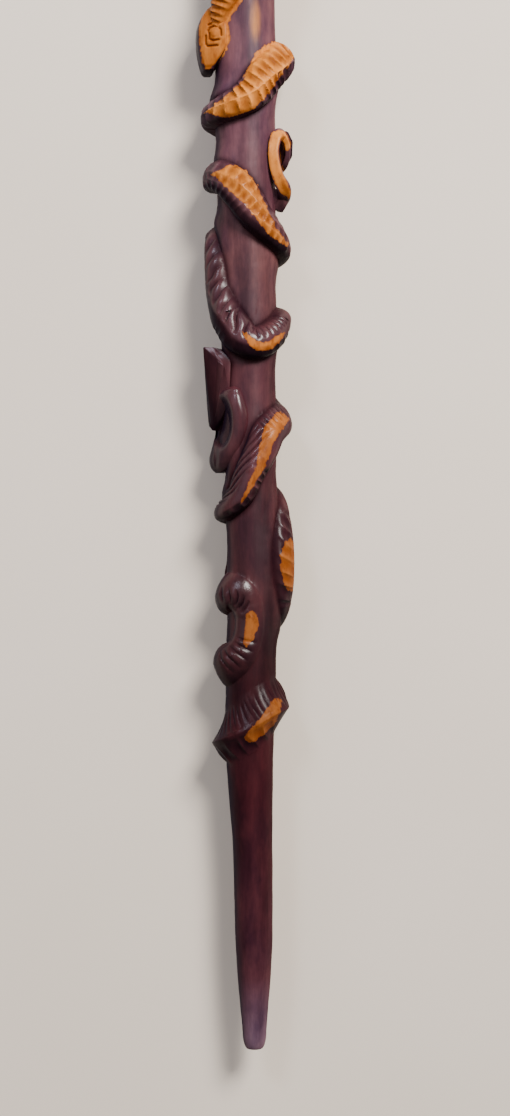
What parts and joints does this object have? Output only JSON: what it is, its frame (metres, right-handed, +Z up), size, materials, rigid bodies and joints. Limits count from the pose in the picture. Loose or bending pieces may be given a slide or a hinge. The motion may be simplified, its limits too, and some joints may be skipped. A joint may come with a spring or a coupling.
{
  "type": "bishop's crosier",
  "caption": "Carved wooden crosier lying down: tapered foot, shaft wound with serpents in high relief, turned knop and a plain spiral crook.",
  "frame": {"origin": "centre of the bounding box's base, on the floor under the lying staff", "axes": "+Y along the staff from its foot to its crook, +Z up from the floor through the pictured side, +X the way the crook curls"},
  "size_m": [0.1788, 1.4986, 0.0729],
  "materials": {
    "stained_wood": "dark purple-brown stain under gloss varnish, with bare yellow wood on the high parts of the carving"
  },
  "bodies": {
    "root": {"crosier": "stained_wood"}
  },
  "joints": []
}
